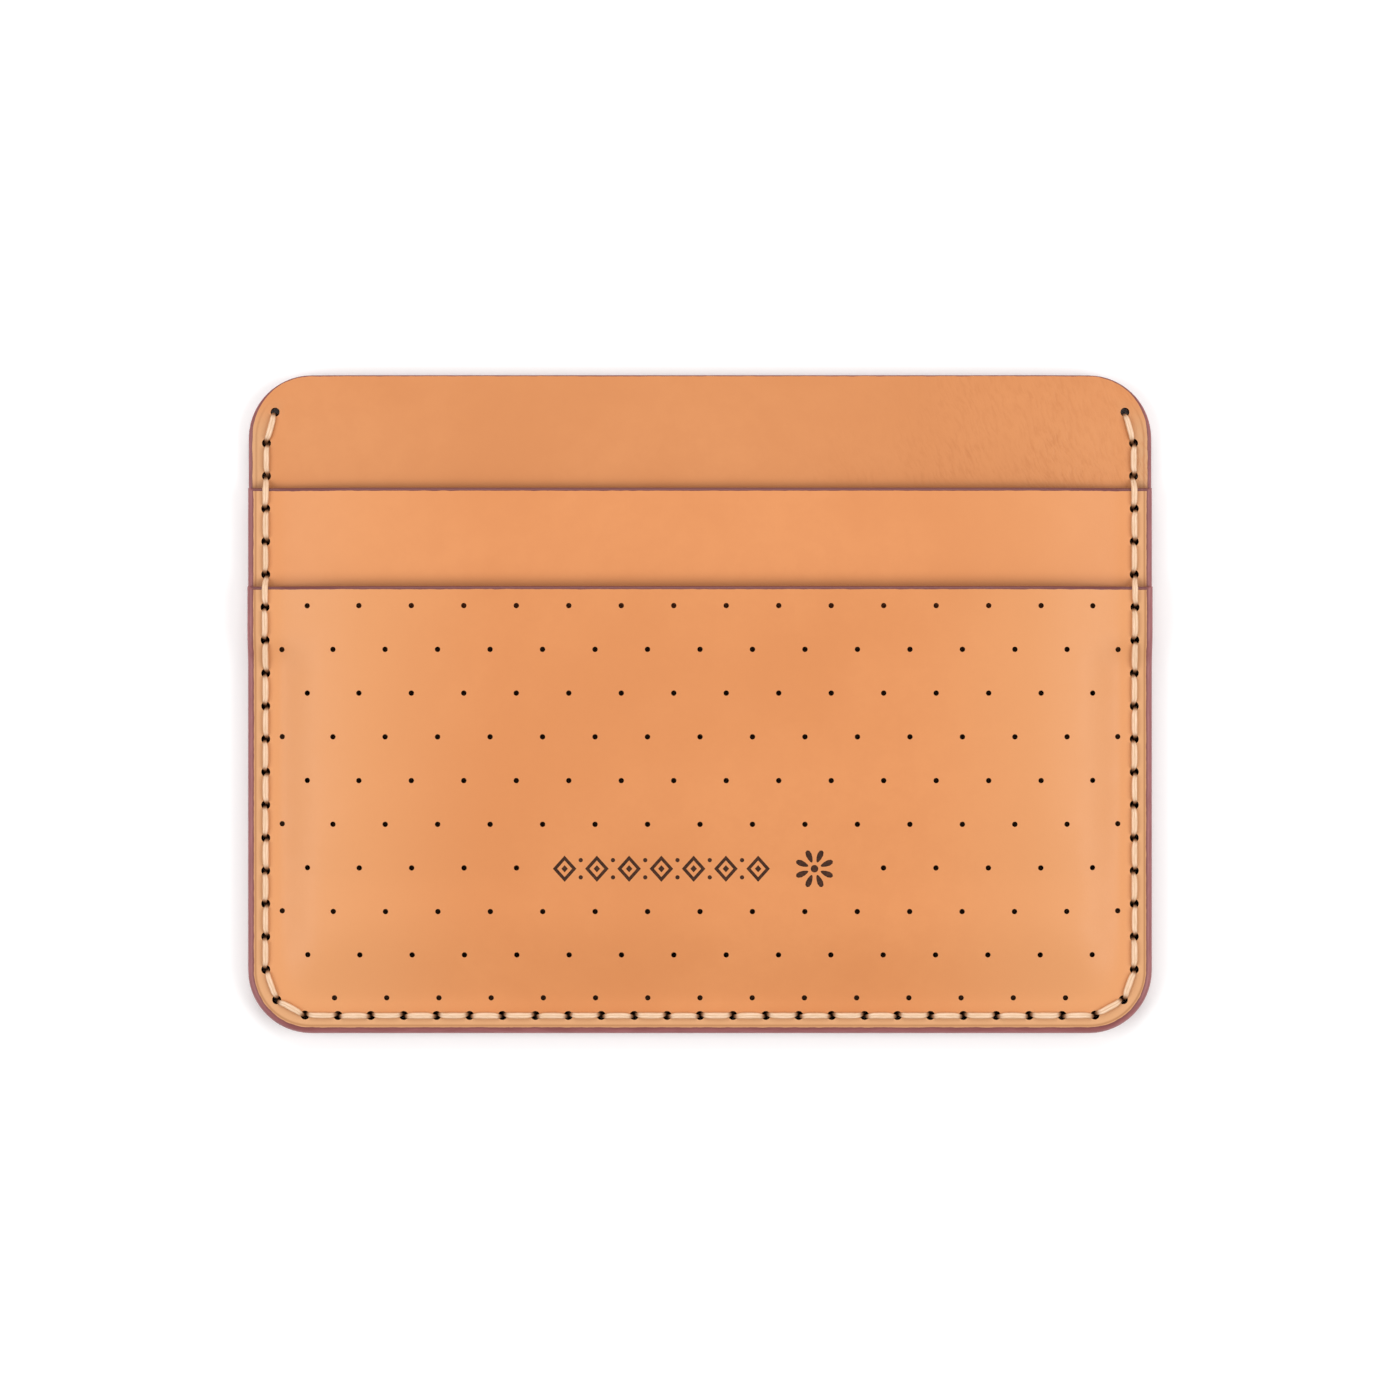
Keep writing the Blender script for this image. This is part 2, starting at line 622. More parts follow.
def grain_leather(name, plan, base, finish, look):
    """Smooth vegetable-tanned leather with painted edges. It is paler towards the sides and outside the seam,
    and darker in the crease along the paint and just above the mouth that covers it."""
    material, bench = new_material(name)
    place, x, y, inset = place_on_panel(bench, plan)
    below_top = 1 - bench.ramp(y, plan.arc_y, plan.half_h - 2)

    clouds = bench.ramp(bench.noise(place, 0.05, 3.0, 0.55), 0.34, 0.66)
    tone = bench.blend(clouds, tinted(base, 0.965, 0.94, 0.91), tinted(base, 1.02, 1.03, 1.05))
    mottle = bench.noise(place, 0.42, 5.0, 0.62)
    tone = bench.blend(bench.ramp(mottle, 0.36, 0.64) * 0.3, tone, tinted(base, 0.94, 0.90, 0.86))
    pale = (1 - bench.ramp(plan.half_w - abs(x), 5.0, 30.0)) * below_top
    tone = bench.blend(pale * look["pale"], tone, tinted(base, 1.05, 1.19, 1.38))
    margin = (1 - bench.ramp(inset, 1.5, 2.6)) * below_top
    tone = bench.blend(margin * 0.85, tone, tinted(base, 0.98, 1.36, 1.95))
    crease = bench.ramp(inset, 0.70, 0.84) * (1 - bench.ramp(inset, 0.88, 1.1)) * below_top
    tone = bench.blend(crease * 0.6 * look["crease"], tone, tinted(base, 0.50, 0.50, 0.40))
    if look["covered"] is not None:
        above = y - look["covered"]
        shade = (1 - bench.ramp(above, -0.3, look["shade_reach"])) ** 1.6
        tone = bench.blend(shade * 0.5, tone, tinted(base, 0.42, 0.34, 0.26))

    height = bench.noise(place, 3.2, 4.0, 0.6) * 0.6 + bench.noise(place, 9.0, 2.0, 0.5) * 0.4
    if look["wrinkled"]:
        wrinkles, share = growth_wrinkles(bench, plan, place, x, y)
        height = height + (wrinkles - 0.5) * share * 11.0
        dents = bench.ramp(wrinkles, 0.58, 0.30) * share
        tone = bench.blend(dents * 0.65, tone, tinted(base, 0.80, 0.70, 0.58))

    tone, mask = painted(bench, plan, place, y, inset, finish, look, tone)
    roughness = 0.50 + (mottle - 0.5) * 0.18 - mask * 0.12
    finish_material(bench, tone, roughness, 0.42, height, 0.35, 0.04)
    return material


def flesh_leather(name, plan, finish, look):
    """The unfinished inner side of a panel: matt and fibrous, with hardly any paint round its rim."""
    material, bench = new_material(name)
    place, x, y, inset = place_on_panel(bench, plan)
    fibres = bench.noise(place, 1.1, 6.0, 0.7)
    flesh = tuple(finish.flesh)
    tone = bench.blend(bench.ramp(fibres, 0.3, 0.7), tinted(flesh, 0.8), tinted(flesh, 1.18))
    rim = {**look, "side_paint": 0.1, "top_paint": 0.1}
    tone = painted(bench, plan, place, y, inset, finish, rim, tone)[0]
    finish_material(bench, tone, 0.92, 0.2, fibres, 0.8, 0.1)
    return material


def burnt_leather(name, finish, lightest):
    """Scorched leather of the holes' walls and the stamp's floor, made once and shared."""
    if name in bpy.data.materials:
        return bpy.data.materials[name]
    material, bench = new_material(name)
    char = bench.noise(object_mm(bench), 2.6, 4.0, 0.7)
    burnt = tuple(finish.burnt)
    tone = bench.blend(bench.ramp(char, 0.35, 0.7), burnt, tinted(burnt, lightest))
    finish_material(bench, tone, 0.75, 0.25, char)
    return material


def waxed_thread(finish):
    """Cream linen thread: fibres along it, darker between its plies, at its sides and in the holes."""
    material, bench = new_material("waxed linen thread")
    names = ({"attribute_name": name} for name in ("along", "around", "sunk"))
    along, around, sunk = (bench.node("ShaderNodeAttribute", None, name, "Fac") for name in names)
    fibres = bench.noise(bench.join(along * 900.0, around * 7.0, along * 130.0), 1.0, 4.0, 0.65)
    worn = bench.noise(bench.join(along * 420.0, 0.0, 0.0), 1.0, 2.0)
    parting = 1 - bench.ramp(abs(around), 0.0, 0.34)
    thread = tuple(finish.thread)
    tone = bench.blend(
        bench.ramp(fibres, 0.3, 0.72), tinted(thread, 0.80, 0.72, 0.62), tinted(thread, 1.1, 1.12, 1.2)
    )
    tone = bench.blend(parting * 0.5, tone, tinted(thread, 0.66, 0.52, 0.38))
    tone = bench.blend(bench.ramp(abs(around), 0.5, 1.0) * 0.7, tone, tinted(thread, 0.72, 0.55, 0.40))
    tone = bench.blend(bench.ramp(worn, 0.45, 0.75) * 0.4, tone, tinted(thread, 0.82, 0.74, 0.62))
    tone = bench.blend(bench.ramp(sunk, 0.0, 1.0) * 0.94, tone, tinted(thread, 0.36, 0.22, 0.13))
    finish_material(bench, tone, 0.55, 0.4, fibres)
    return material


# ---- Geometry Nodes --------------------------------------------------------------------------------------


def new_tree(name, **titles):
    """A Geometry Nodes tree with named inputs, listed by kind. Returns its bench and its inputs by name."""
    tree = bpy.data.node_groups.new(name, "GeometryNodeTree")
    tree.is_modifier = True
    tree.interface.new_socket("Geometry", in_out="INPUT", socket_type="NodeSocketGeometry")
    for kind, listed in titles.items():
        for title in listed.split(", "):
            tree.interface.new_socket(title, in_out="INPUT", socket_type="NodeSocket" + kind)
    tree.interface.new_socket("Geometry", in_out="OUTPUT", socket_type="NodeSocketGeometry")
    bench = Bench(tree)
    group = bench.node("NodeGroupInput").socket.node
    return bench, {s.name: Number(bench, s) for s in group.outputs if s.name}


def end_tree(bench, geometry, material, selection=True):
    """Ends a tree in Realize Instances and Set Material."""
    solid = bench.node("GeometryNodeRealizeInstances", {"Geometry": geometry})
    inputs = {"Geometry": solid, "Selection": selection, "Material": material}
    bench.node("NodeGroupOutput", {0: bench.node("GeometryNodeSetMaterial", inputs)})
    return bench.tree


def store(bench, geometry, name, value, kind="FLOAT", domain="POINT"):
    """Keeps a value on the geometry under a name."""
    inputs = {"Geometry": geometry, "Name": name, "Value": value}
    return bench.node("GeometryNodeStoreNamedAttribute", inputs, {"data_type": kind, "domain": domain})


def read(bench, name, kind="FLOAT"):
    """Reads a value kept under a name."""
    return bench.node("GeometryNodeInputNamedAttribute", {"Name": name}, {"data_type": kind})


def shape_of(bench, piece):
    """Geometry of a helper object."""
    return bench.node("GeometryNodeObjectInfo", {"Object": piece}, output="Geometry")


def cut_away(bench, panel, cutters, material):
    """Takes the cutters out of a panel, keeps the rims crisp, faces the cuts and ends the tree."""
    marked = store(bench, cutters, "cut", True, "BOOLEAN", "FACE")
    settings = {"operation": "DIFFERENCE", "solver": "MANIFOLD"}
    left = bench.node("GeometryNodeMeshBoolean", {"Mesh 1": panel, "Mesh 2": marked}, settings)
    whole = bench.node("GeometryNodeMergeByDistance", {"Geometry": left, "Distance": WELD})
    angle = bench.node("GeometryNodeInputMeshEdgeAngle", output="Unsigned Angle")
    inputs = {0: whole, "Selection": angle > SHARP_ANGLE, "Shade Smooth": False}
    crisp = bench.node("GeometryNodeSetShadeSmooth", inputs, {"domain": "EDGE"})
    return end_tree(bench, crisp, material, read(bench, "cut", "BOOLEAN"))


def round_cutters(bench, points, dropped, diameter, sides):
    """A round punch at every point that isn't dropped, reaching through the whole stack."""
    inputs = {"Geometry": points, "Selection": dropped}
    kept = bench.node("GeometryNodeDeleteGeometry", inputs, {"domain": "POINT"})
    inputs = {"Vertices": sides, "Radius": diameter / 2, "Depth": PUNCH_LENGTH}
    punch = bench.node("GeometryNodeMeshCylinder", inputs, {"fill_type": "NGON"})
    placed = bench.node("GeometryNodeInstanceOnPoints", {"Points": kept, "Instance": punch})
    return bench.node("GeometryNodeRealizeInstances", {"Geometry": placed})


def stitch_hole_tree():
    """Punches a row of stitch holes along a line, between two heights."""
    bench, given = new_tree(
        "Stitch holes", Object="Line", Int="Holes", Float="Diameter, Lowest, Highest", Material="Material"
    )
    inputs = {"Curve": shape_of(bench, given["Line"]), "Count": given["Holes"]}
    row = bench.node("GeometryNodeCurveToPoints", inputs, {"mode": "COUNT"})
    y = bench.split(bench.node("GeometryNodeInputPosition"))[1]
    outside = bench.greater(y < given["Lowest"], y > given["Highest"])
    cutters = round_cutters(bench, row, outside, given["Diameter"], STITCH_PUNCH_SIDES)
    return cut_away(bench, given["Geometry"], cutters, given["Material"])


def perforation_tree():
    """Punches staggered rows of small holes, leaving out a blank field and whatever is too near the edge."""
    bench, given = new_tree(
        "Perforations",
        Int="Columns, Rows, Blank Row",
        Float="Pitch, Row Pitch, First Row, Diameter, Margin Arc, Arc X, Arc Y, Blank Width",
        Material="Material",
    )
    wide = given["Columns"] + 1
    points = bench.node("GeometryNodePoints", {"Count": given["Rows"] * wide})
    index = bench.node("GeometryNodeInputIndex")
    row = bench.math("FLOOR", (index + 0.5) / wide)
    column = index - row * wide
    count = given["Columns"] + row % 2.0
    x = (column - (count - 1) / 2) * given["Pitch"]
    y = given["First Row"] - row * given["Row Pitch"]
    placed = bench.node("GeometryNodeSetPosition", {"Geometry": points, "Position": bench.join(x, y, 0.0)})
    x, y = bench.split(bench.node("GeometryNodeInputPosition"))[:2]
    too_near = bench.past_corner(abs(x) - given["Arc X"], given["Arc Y"] - y) > given["Margin Arc"]
    blank = (abs(row - given["Blank Row"] + 1) < 0.5) * (abs(x) < given["Blank Width"] / 2)
    spare = column > count - 0.5
    dropped = bench.greater(bench.greater(too_near, blank), spare)
    cutters = round_cutters(bench, placed, dropped, given["Diameter"], PERFORATION_SIDES)
    return cut_away(bench, given["Geometry"], cutters, given["Material"])


def stamp_tree():
    """Presses a stamp's raised shapes into a panel."""
    bench, given = new_tree("Stamp", Object="Die", Material="Material")
    return cut_away(bench, given["Geometry"], shape_of(bench, given["Die"]), given["Material"])


def thread_tree():
    """Sweeps a flattened two-ply thread along its lane, with the small unevenness of hand sewing."""
    bench, given = new_tree(
        "Thread", Int="Sides, Seed", Float="Width, Height, Parting, Unevenness", Material="Material"
    )

    def uneven(reach, shift):
        """An amount that differs from stitch to stitch, up to the reach either way."""
        stitch = read(bench, "stitch", "INT")
        inputs = {"Min": -reach, "Max": reach, "ID": stitch, "Seed": given["Seed"] + shift}
        amount = bench.node("FunctionNodeRandomValue", inputs, {"data_type": "FLOAT"})
        return given["Unevenness"] * amount

    lane = bench.node("GeometryNodeMeshToCurve", {"Mesh": given["Geometry"]})
    lane = store(bench, lane, "along", bench.node("GeometryNodeSplineParameter", output="Length"))
    lane = bench.node("GeometryNodeSetCurveNormal", {"Curve": lane}, {"mode": "Z_UP"})
    radius = read(bench, "full") * (1 + uneven(1.0, 0))
    lane = bench.node("GeometryNodeSetCurveRadius", {"Curve": lane, "Radius": radius})
    lane = bench.node("GeometryNodeSetCurveTilt", {"Curve": lane, "Tilt": uneven(2.2, 1)})

    ring = bench.node("GeometryNodeCurvePrimitiveCircle", {"Resolution": given["Sides"], "Radius": 1.0})
    x, y = bench.split(bench.node("GeometryNodeInputPosition"))[:2]
    dip = given["Parting"] * bench.math("EXPONENT", x * x * -14.0)
    ring = store(bench, ring, "around", x)
    shaped = bench.join(x * given["Width"] / 2, y * given["Height"] / 2 * (1 - dip), 0.0)
    ring = bench.node("GeometryNodeSetPosition", {"Geometry": ring, "Position": shaped})
    scale = bench.node("GeometryNodeInputRadius")
    inputs = {"Curve": lane, "Profile Curve": ring, "Scale": scale, "Fill Caps": True}
    swept = bench.node("GeometryNodeCurveToMesh", inputs)
    rounded = bench.node("GeometryNodeSetShadeSmooth", {0: swept, "Shade Smooth": True}, {"domain": "FACE"})
    return end_tree(bench, rounded, given["Material"])


def add_nodes(piece, title, make_tree, values):
    """Adds a Geometry Nodes modifier and sets its inputs by their identifiers. Pieces share a tree."""
    tree = bpy.data.node_groups.get(title) or make_tree()
    modifier = piece.modifiers.new(title, "NODES")
    modifier.node_group = tree
    sockets = {s.name: s.identifier for s in tree.interface.items_tree if s.in_out == "INPUT"}
    for name, value in values.items():
        modifier[sockets[name]] = value


def straighten_rims(mesh):
    """Takes out the spare points that a cut leaves along its rims, which belong to two edges only."""
    body = bmesh.new()
    body.from_mesh(mesh)
    spare = [v for v in body.verts if len(v.link_edges) == 2]
    bmesh.ops.dissolve_verts(body, verts=spare)
    body.to_mesh(mesh)
    body.free()


def settle(piece):
    """Turns a piece with its modifiers into a plain mesh."""
    bpy.context.view_layer.update()
    graph = bpy.context.evaluated_depsgraph_get()
    made = piece.evaluated_get(graph)
    mesh = bpy.data.meshes.new_from_object(made, preserve_all_data_layers=True, depsgraph=graph)
    if len(mesh.polygons) < 100:
        raise RuntimeError(f"{piece.name} came out of its modifiers with {len(mesh.polygons)} faces")
    straighten_rims(mesh)
    piece.modifiers.clear()
    old = piece.data
    piece.data = mesh
    bpy.data.meshes.remove(old)
    mesh.name = piece.name


def hand_over(piece, node):
    """Puts a finished piece in the place of its CAD node."""
    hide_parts(node)
    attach(piece, ROOT)


# ---- Leather panels --------------------------------------------------------------------------------------

LOOK = {"mouth": None, "covered": None, "crease": 1.0, "wrinkled": False}


def crease_depth(inset):
    """Depth of the creased line just inside the edge paint."""
    return CREASE_DEPTH * np.exp(-(((inset - CREASE_INSET) / CREASE_WIDTH) ** 2))


def body_lines(plan):
    """Grid lines of a panel of the full outline, across and up."""
    xs, ys = (
        [d - half for d in BODY_INSETS] + [half - d for d in BODY_INSETS]
        + lines_between(plan.corner - half, half - plan.corner)
        for half in (plan.half_w, plan.half_h)
    )
    ys += [plan.upper_mouth, plan.upper_mouth + MOUTH_STEP, plan.front_mouth, plan.front_mouth + MOUTH_STEP]
    return merged(xs), merged(ys)


def top_blend(plan, y):
    """0 along the sides, 1 on the top edge."""
    return smooth((y - plan.arc_y) / plan.corner)


def rear_shape(plan, x, y):
    inset = np.maximum(plan.ring(x, y), 0)
    to_top = top_blend(plan, y)
    lower = rounding(inset, toward(REAR_R, REAR_TOP_R, to_top)) + plan.groove(x, y) + crease_depth(inset)
    return lower, plan.thickness - rounding(inset, toward(HIDDEN_R, TOP_R, to_top))


def front_shape(plan, x, y):
    inset = np.maximum(plan.ring(x, y), 0)
    to_top = top_blend(plan, y)
    shown = y > plan.upper_mouth
    side = np.where(shown, STRIP_SIDE_R, HIDDEN_R)
    under = plan.front_under(x, y)
    pressed = np.where(shown, plan.seam_press(x, y) + crease_depth(inset) * (1 - to_top), 0)
    upper = under + plan.thickness - rounding(inset, toward(side, TOP_R, to_top)) - pressed
    return under + rounding(inset, toward(HIDDEN_R, TOP_R, to_top)), upper


def upper_shape(plan, x, y):
    inset = plan.side(x)
    lip = plan.upper_mouth - y
    under = plan.upper_under(x, y)
    thickness = plan.thickness * plan.over_layers(x, y)
    shown = y > plan.front_mouth
    drop = np.maximum(rounding(inset, np.where(shown, UPPER_SIDE_R, HIDDEN_R)), rounding(lip, LIP_R))
    pressed = np.where(shown, plan.seam_press(x, y) + crease_depth(inset), 0)
    upper = under + np.maximum(thickness - drop * thickness / plan.thickness, LEAST_SKIVE) - pressed
    return under + rounding(lip, LIP_UNDER_R), upper


def pocket_shape(plan, x, y):
    inset = np.maximum(plan.ring(x, np.minimum(y, 0)), 0)
    lip = plan.front_mouth - y
    side = toward(SIDE_R, BOTTOM_R, smooth((-y - plan.arc_y) / plan.corner))
    under = plan.pocket_under(x, y)
    drop = np.maximum(rounding(inset, side), rounding(lip, LIP_R))
    pressed = plan.seam_press(x, y) + crease_depth(inset)
    return under + rounding(lip, LIP_UNDER_R), under + plan.thickness - drop - pressed


def start_panel(context):
    """The plan and the finish, once the two seam lines that the Geometry Nodes follow are there."""
    plan = Plan(context.scene)
    if "edge seam line" not in bpy.data.objects:
        seam_line("edge seam line", plan.edge_seam())
        seam_line("tail seam line", plan.tail_seam())
    return plan, context.scene.holder_finish


def tan_and_paint(plan, piece, finish, title, base, grain_below=False, **changes):
    """Gives a panel its grain and its flesh side, with the look of its edges."""
    look = {**LOOK, **changes}
    grain = grain_leather(title + " grain", plan, base, finish, look)
    flesh = flesh_leather(title + " flesh", plan, finish, look)
    for material in (flesh, grain) if grain_below else (grain, flesh):
        piece.data.materials.append(material)


def punch_seams(plan, piece, finish, edge=EVERYWHERE, tail=False):
    """Adds the stitch holes of the seams that run through a panel. edge is the range of heights it covers."""
    edge_count, tail_count = plan.stitch_counts()
    rows = [("edge seam line", edge_count, edge)]
    if tail:
        rows.append(("tail seam line", tail_count, EVERYWHERE))
    for line, count, (low, high) in rows:
        values = {
            "Line": bpy.data.objects[line],
            "Holes": count + 1,
            "Diameter": plan.hole * MM,
            "Lowest": low * MM,
            "Highest": high * MM,
            "Material": burnt_leather("pierced hole wall", finish, 9.0),
        }
        add_nodes(piece, "Stitch holes", stitch_hole_tree, values)


def finish_panel(plan, piece, node, low, high, waste, rests_on=()):
    settle(piece)
    hand_over(piece, node)
    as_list(rests_on)


class CARDHOLDER_OT_rear_panel(bpy.types.Operator):
    """Cut, groove, punch and paint the rear panel"""

    bl_idname = "card_holder.rear_panel"
    bl_label = "Rear panel"

    def execute(self, context):
        plan, finish = start_panel(context)
        piece = leather_sheet(plan, "rear_leather", *body_lines(plan), rear_shape, corners=(-1, 1))
        look = {"side_paint": 0.62, "top_paint": 0.3, "pale": 0.4, "grain_below": True}
        tan_and_paint(plan, piece, finish, "rear panel", tuple(finish.panel_leather), **look)
        punch_seams(plan, piece, finish)
        waste = 4 * plan.corner_waste
        finish_panel(plan, piece, "rear_panel", -plan.half_h, plan.half_h, waste)
        return {"FINISHED"}


class CARDHOLDER_OT_front_panel(bpy.types.Operator):
    """Cut, punch and paint the front panel, whose top strip shows above the card slots"""

    bl_idname = "card_holder.front_panel"
    bl_label = "Front panel"

    def execute(self, context):
        plan, finish = start_panel(context)
        piece = leather_sheet(plan, "front_leather", *body_lines(plan), front_shape, corners=(-1, 1))
        look = {"side_paint": 0.46, "top_paint": 0.12, "pale": 0.15, "crease": 0.6, "wrinkled": True}
        look.update(covered=plan.upper_mouth, shade_reach=1.3)
        tan_and_paint(plan, piece, finish, "front panel", tuple(finish.panel_leather), **look)
        punch_seams(plan, piece, finish, tail=True)
        below, waste = ["rear_leather"], 4 * plan.corner_waste
        finish_panel(plan, piece, "front_panel", -plan.half_h, plan.half_h, waste, below)
        return {"FINISHED"}


class CARDHOLDER_OT_upper_slot(bpy.types.Operator):
    """Cut, skive, punch and paint the T-shaped panel of the upper card slot"""

    bl_idname = "card_holder.upper_slot"
    bl_label = "Upper slot panel"

    def execute(self, context):
        plan, finish = start_panel(context)
        low, tail_x = plan.tail_end, plan.tail_x
        xs, ys = body_lines(plan)
        xs = merged([*xs, -tail_x, tail_x], 0.02)
        for x in (tail_x, -tail_x):
            xs[np.abs(xs - x).argmin()] = x
        ys = [y for y in ys if low < y < plan.upper_mouth - MOUTH_INSETS[-1]]
        ys += [low, plan.skive_end, plan.wing_end] + [plan.upper_mouth - d for d in MOUTH_INSETS]

        def tee(x, y):
            return (np.abs(x) < tail_x) | (y > plan.skive_end)

        piece = leather_sheet(plan, "upper_slot_leather", xs, merged(ys, 0.006), upper_shape, tee)
        look = {"side_paint": UPPER_SIDE_R, "top_paint": UPPER_SIDE_R, "pale": 0.45}
        look.update(mouth=plan.upper_mouth, covered=plan.front_mouth, shade_reach=2.2)
        tan_and_paint(plan, piece, finish, "upper slot", tuple(finish.slot_leather), **look)
        crossed = (plan.skive_end - plan.hole / 2, plan.upper_mouth + plan.hole / 2)
        punch_seams(plan, piece, finish, crossed, tail=True)
        below, waste = ["front_leather"], 2 * plan.tail_inset * (plan.skive_end - low)
        finish_panel(plan, piece, "upper_slot_panel", low, plan.upper_mouth, waste, below)
        return {"FINISHED"}


class CARDHOLDER_OT_front_slot(bpy.types.Operator):
    """Cut, punch, perforate, stamp and paint the front slot panel"""

    bl_idname = "card_holder.front_slot"
    bl_label = "Front slot panel"

    def execute(self, context):
        plan, finish = start_panel(context)
        xs, ys = body_lines(plan)
        ys = [y for y in ys if y < plan.front_mouth - MOUTH_INSETS[-1]]
        ys = merged(ys + [plan.front_mouth - d for d in MOUTH_INSETS])
        piece = leather_sheet(plan, "front_slot_leather", xs, ys, pocket_shape, corners=(-1,))
        look = {"side_paint": SIDE_R, "top_paint": SIDE_R, "pale": 1.0, "mouth": plan.front_mouth}
        deeper = tinted(tuple(finish.slot_leather), 0.97, 0.96, 0.93)
        tan_and_paint(plan, piece, finish, "front slot", deeper, **look)
        punch_seams(plan, piece, finish, (EVERYWHERE[0], plan.front_mouth + plan.hole / 2))
        self.perforate(plan, piece, context.scene.holder_perforation, finish)
        stamped = {"Die": stamp_die(plan), "Material": burnt_leather("burnt stamp", finish, 2.4)}
        add_nodes(piece, "Stamp", stamp_tree, stamped)
        below, waste = ["upper_slot_leather"], 2 * plan.corner_waste
        finish_panel(
            plan, piece, "front_slot_panel", -plan.half_h, plan.front_mouth, waste, below
        )
        return {"FINISHED"}

    def perforate(self, plan, piece, pattern, finish):
        """Adds the perforations: as many columns and rows as the margin leaves room for."""
        edge, pitch, row_pitch = pattern.edge / MM, pattern.pitch / MM, pattern.row_pitch / MM
        first = plan.front_mouth - pattern.top / MM
        arc = max(plan.corner - edge, 0)
        values = {
            "Columns": math.floor((2 * plan.half_w - 2 * edge - pitch) / pitch) + 1,
            "Rows": math.floor((first + plan.half_h - edge) / row_pitch) + 1,
            "Pitch": pitch * MM,
            "Row Pitch": row_pitch * MM,
            "First Row": first * MM,
            "Diameter": pattern.hole,
            "Margin Arc": arc * MM,
            "Arc X": (plan.half_w - edge - arc) * MM,
            "Arc Y": (edge + arc - plan.half_h) * MM,
            "Blank Row": pattern.field_row,
            "Blank Width": pattern.field_count * pitch * MM,
            "Material": burnt_leather("scorched hole wall", finish, 1.6),
        }
        add_nodes(piece, "Perforations", perforation_tree, values)


# ---- Stamp -----------------------------------------------------------------------------------------------


def lozenge(x, wide, tall):
    """Outline of a lozenge of the border."""
    return [(x + wide, STAMP_Y), (x, STAMP_Y + tall), (x - wide, STAMP_Y), (x, STAMP_Y - tall)]


def disc(x, y, radius, count=14):
    """Outline of a round dot."""
    turns = [2 * math.pi * i / count for i in range(count)]
    return [(x + radius * math.cos(a), y + radius * math.sin(a)) for a in turns]


def petal(turn, inner, outer, wide, count=10):
    """Outline of one petal of the rosette, pointing outwards."""
    points = []
    for i in range(count):
        a = 2 * math.pi * i / count
        along = (inner + outer) / 2 + (outer - inner) / 2 * math.cos(a)
        across = wide * math.sin(a) * (0.75 + 0.25 * math.cos(a))
        x = along * math.cos(turn) - across * math.sin(turn)
        y = along * math.sin(turn) + across * math.cos(turn)
        points.append((x + ROSE_X, y + STAMP_Y))
    return points


def stamp_die(plan):
    """The raised shapes of the stamp: a border of lozenges and dots, and an eight-petalled rosette."""

    def floor(x, y):
        return plan.pocket_under(x, y) + plan.thickness - STAMP_DEPTH

    def above(x, y):
        return plan.pocket_under(x, y) + plan.thickness + 1

    shapes = []
    for i in range(LOZENGES):
        x = BORDER_X + i * BORDER_STEP
        shapes.append([lozenge(x, 1.3, 1.45), lozenge(x, 0.82, 0.92)])
        shapes.append([lozenge(x, 0.36, 0.40)])
        if i < LOZENGES - 1:
            shapes += [[disc(x + BORDER_STEP / 2, STAMP_Y + side * 0.95, 0.24)] for side in (-1, 1)]
    shapes += [[petal(2 * math.pi * (i + 0.5) / PETALS, 0.72, 2.2, 0.42)] for i in range(PETALS)]
    shapes.append([disc(ROSE_X, STAMP_Y, 0.42)])
    points, faces = [], []
    for outlines in shapes:
        some, sides = prism(outlines, floor, above)
        start = sum(len(p) for p in points)
        points.append(some)
        faces += [tuple(k + start for k in f) for f in sides]
    return mesh_object("stamp die", np.concatenate(points), faces)


# ---- Threads ---------------------------------------------------------------------------------------------


def taut(places, heights):
    """Heights of a string pulled tight over the given points."""
    hull = []
    for p in zip(places, heights):
        while len(hull) > 1:
            (ax, ay), (bx, by) = hull[-2], hull[-1]
            if (bx - ax) * (p[1] - ay) - (by - ay) * (p[0] - ax) < 0:
                break
            hull.pop()
        hull.append(p)
    return np.interp(places, *zip(*hull))


def stitch_on(plan, a, b, surface, upward, shift):
    """One stitch lying between holes a and b on a surface, as rows of x, y, z, fullness and sunkenness."""
    span = np.hypot(*(b - a))
    heading = (b - a) / span
    side = np.array([-heading[1], heading[0]])
    f = np.array([*LANE_STARTS, span / 2, *(span - d for d in reversed(LANE_STARTS))])
    end = np.minimum(f, span - f)
    x, y = (a[:, None] + heading[:, None] * f).reshape(2, -1)
    rest = upward * surface(x, y) + plan.thread_height / 2 + LAY
    lying = end >= plan.hole / 2
    z = np.interp(f, f[lying], taut(f[lying], rest[lying])) - np.interp(end, *DIP)
    full, sunk = np.interp(end, *FULLNESS), np.interp(end, *SUNKENNESS)
    lean = shift * LEG_SHIFT * np.interp(end, *LEAN)
    return np.column_stack([x + side[0] * lean, y + side[1] * lean, upward * z, full, sunk])


def strand(plan, holes, low, high, first):
    """One of the two strands of a saddle-stitched seam, on the front over every second stitch."""
    shift = -1 if first == 0 else 1
    rows, stitches = [], []
    for i in range(len(holes) - 1):
        front = (i + first) % 2 == 0
        part = stitch_on(plan, holes[i], holes[i + 1], high if front else low, 1 if front else -1, shift)
        rows.append(part)
        stitches += [i * 2 + first] * len(part)
    return np.concatenate(rows), stitches


def holes_along(line, count):
    """Even places along a line of points."""
    steps = np.hypot(*np.diff(line, axis=0).T)
    at = np.concatenate([[0], np.cumsum(steps)])
    wanted = np.linspace(0, at[-1], count + 1)
    return np.column_stack([np.interp(wanted, at, line[:, k]) for k in range(2)])


